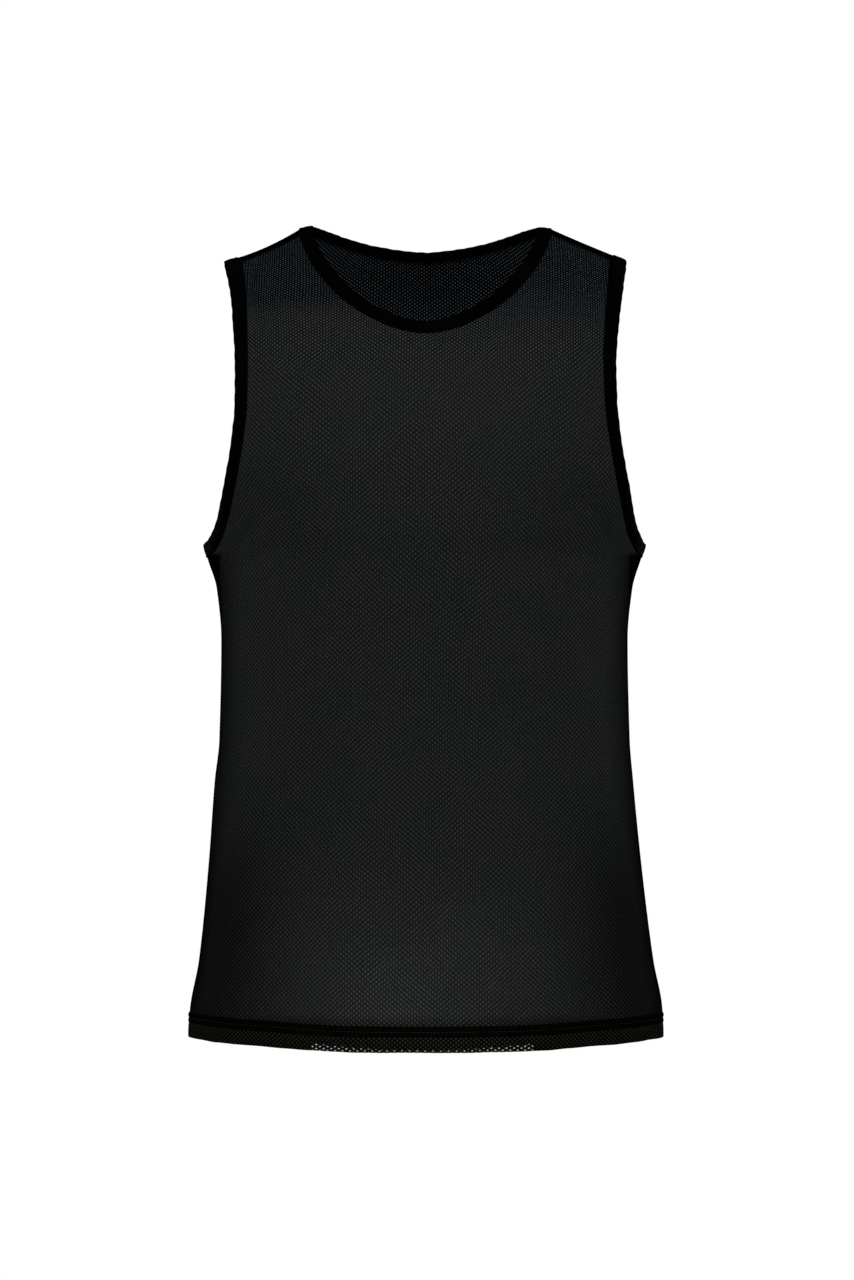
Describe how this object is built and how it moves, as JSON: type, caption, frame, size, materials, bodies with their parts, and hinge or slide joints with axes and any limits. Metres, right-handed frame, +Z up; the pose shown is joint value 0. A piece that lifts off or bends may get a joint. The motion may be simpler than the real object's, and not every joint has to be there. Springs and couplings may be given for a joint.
{
  "type": "mesh training bib",
  "caption": "Sleeveless mesh training bib in worn, hollow form, with a scooped neck, bound neck and armholes and a turned hem.",
  "frame": {"origin": "midway between the two shoulders, at the height of the wearer's shoulder tops, in the plane of the side and shoulder seams", "axes": "+Z up, the front faces -Y, the wearer's right side at -X"},
  "size_m": [0.4034, 0.2394, 0.6879],
  "materials": {
    "net": "open warp-knit polyester net, soft low sheen",
    "binding": "plain knitted tape, matt",
    "hem": "net turned up and doubled, twin-needle stitched"
  },
  "bodies": {
    "root": {"front_panel": "net", "back_panel": "net", "neck_binding": "binding", "right_armhole_binding": "binding", "left_armhole_binding": "binding", "hem_band": "hem"}
  },
  "joints": []
}
